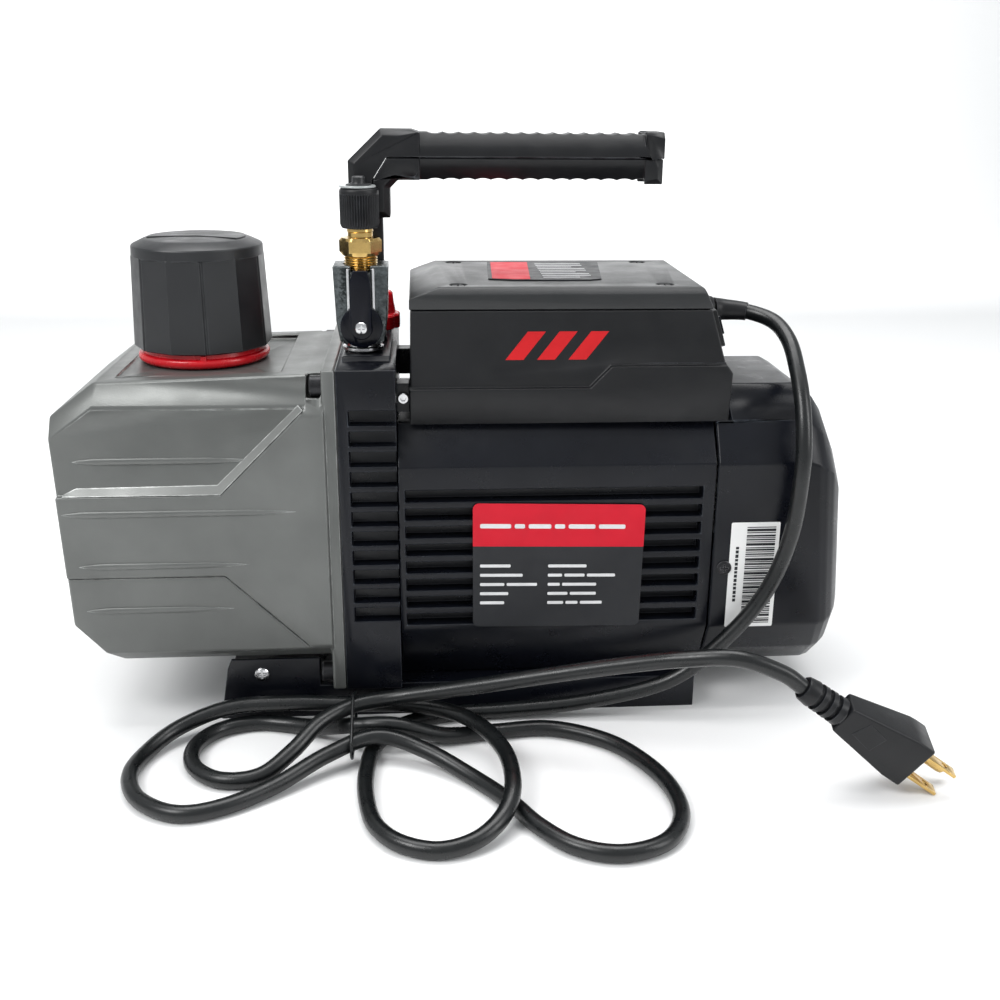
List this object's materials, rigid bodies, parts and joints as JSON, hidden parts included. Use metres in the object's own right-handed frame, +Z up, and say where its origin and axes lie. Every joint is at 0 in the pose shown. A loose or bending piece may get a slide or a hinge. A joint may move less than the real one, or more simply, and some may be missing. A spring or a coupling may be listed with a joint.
{
  "type": "two-stage rotary vane vacuum pump",
  "caption": "Two-stage rotary vane vacuum pump with oil tank, ball-valve inlet, finned motor, box, handle and coiled mains lead.",
  "frame": {"origin": "centre of the pump's underside, cord left out, on the floor", "axes": "+X from the oil tank to the fan cover, +Y away from the inlet valve and nameplate, +Z up"},
  "size_m": [0.4135, 0.2511, 0.2869],
  "materials": {
    "tank_grey": "satin painted casting",
    "black_paint": "satin",
    "black_plastic": "satin",
    "rubber": "semi-gloss",
    "steel": "machined",
    "dark_steel": "blackened",
    "nickel": "cast and plated",
    "brass": "machined",
    "copper": "varnished copper wire",
    "red_plastic": "gloss",
    "clear_plastic": "translucent",
    "glass": "clear, oil behind",
    "carbon": "matte",
    "capacitor_grey": "matte",
    "label": "printed foil"
  },
  "bodies": {
    "housing": {"base_plate": "black_paint", "oil_tank": "tank_grey", "tank_gasket": "rubber", "tank_bolt_1": "dark_steel", "tank_bolt_2": "dark_steel", "tank_bolt_3": "dark_steel", "tank_bolt_4": "dark_steel", "filler_neck": "black_plastic", "drain_plug": "brass", "sight_glass": "glass", "pump_body": "black_paint", "high_vacuum_stator": "tank_grey", "centre_plate": "tank_grey", "low_vacuum_stator": "tank_grey", "stage_end_cover": "tank_grey", "exhaust_guard": "tank_grey", "inlet_collar": "nickel", "valve_body": "nickel", "brass_fitting": "brass", "handle_post": "dark_steel", "handle_grip_upper": "black_plastic", "handle_grip_lower": "black_plastic", "box_body": "black_plastic", "box_lid": "black_plastic", "run_capacitor": "capacitor_grey", "switch_bezel": "black_plastic", "cord_gland": "black_plastic", "motor_housing": "black_paint", "nameplate": "label", "stator_core": "steel", "winding_front": "copper", "winding_rear": "copper", "bearing_front": "steel", "bearing_rear": "steel", "rear_end_shield": "tank_grey", "fan_cover": "black_paint", "power_cord": "rubber", "cable_tie": "rubber", "plug_strain_relief": "black_plastic", "plug_body": "black_plastic", "plug_blade_a": "brass", "plug_blade_b": "brass", "plug_ground_pin": "brass"},
    "drive_train": {"drive_shaft": "steel", "motor_rotor": "dark_steel", "cooling_fan": "black_plastic", "high_vacuum_rotor": "steel", "low_vacuum_rotor": "steel"},
    "high_vane_a": {"high_vacuum_vane_a": "carbon"},
    "high_vane_b": {"high_vacuum_vane_b": "carbon"},
    "low_vane_a": {"low_vacuum_vane_a": "carbon"},
    "low_vane_b": {"low_vacuum_vane_b": "carbon"},
    "cap_seal": {"cap_seal_ring": "red_plastic"},
    "oil_cap": {"oil_fill_cap": "black_plastic"},
    "inlet_cap_strap": {"cap_strap": "clear_plastic"},
    "inlet_cap_body": {"inlet_cap": "black_plastic"},
    "valve_handle": {"valve_lever": "black_plastic", "valve_ball": "nickel"},
    "gas_ballast": {"gas_ballast_knob": "red_plastic"},
    "rocker": {"rocker_switch": "black_plastic"}
  },
  "joints": [
    {"name": "shaft_spin", "type": "hinge", "parent": "housing", "child": "drive_train", "pos_m": [0, 0, 0.0915], "axis": [1, 0, 0], "continuous": true},
    {"name": "high_vane_a_slide", "type": "slide", "parent": "drive_train", "child": "high_vane_a", "axis": [0, -1, 0], "range_m": [0, 0.0037]},
    {"name": "high_vane_b_slide", "type": "slide", "parent": "drive_train", "child": "high_vane_b", "axis": [0, 1, 0], "range_m": [0, 0.0037]},
    {"name": "low_vane_a_slide", "type": "slide", "parent": "drive_train", "child": "low_vane_a", "axis": [0, -1, 0], "range_m": [0, 0.0037]},
    {"name": "low_vane_b_slide", "type": "slide", "parent": "drive_train", "child": "low_vane_b", "axis": [0, 1, 0], "range_m": [0, 0.0037]},
    {"name": "cap_lift", "type": "slide", "parent": "housing", "child": "cap_seal", "axis": [0, 0, 1], "range_m": [0, 0.012]},
    {"name": "cap_turn", "type": "hinge", "parent": "cap_seal", "child": "oil_cap", "pos_m": [-0.1299, 0, 0.2], "axis": [0, 0, 1], "range_deg": [0, 1080]},
    {"name": "strap_lift", "type": "slide", "parent": "housing", "child": "inlet_cap_strap", "axis": [0, 0, 1], "range_m": [0, 0.0045]},
    {"name": "inlet_cap_turn", "type": "hinge", "parent": "inlet_cap_strap", "child": "inlet_cap_body", "pos_m": [-0.0492, -0.026, 0.25], "axis": [0, 0, 1], "range_deg": [0, 1080]},
    {"name": "valve_turn", "type": "hinge", "parent": "housing", "child": "valve_handle", "pos_m": [-0.0492, -0.0375, 0.198], "axis": [0, -1, 0], "range_deg": [0, 90]},
    {"name": "gas_ballast_turn", "type": "hinge", "parent": "housing", "child": "gas_ballast", "pos_m": [-0.0467, 0.03, 0.19], "axis": [0, 0, 1], "range_deg": [-90, 0]},
    {"name": "switch_rock", "type": "hinge", "parent": "housing", "child": "rocker", "pos_m": [0.1199, -0.029, 0.1962], "axis": [-0.2961, 0, 0.9552], "range_deg": [-6, 6]}
  ],
  "couplings": [
    {"joint": "cap_lift", "follows": "cap_turn", "m_per_rad": 0.00063662}
  ]
}
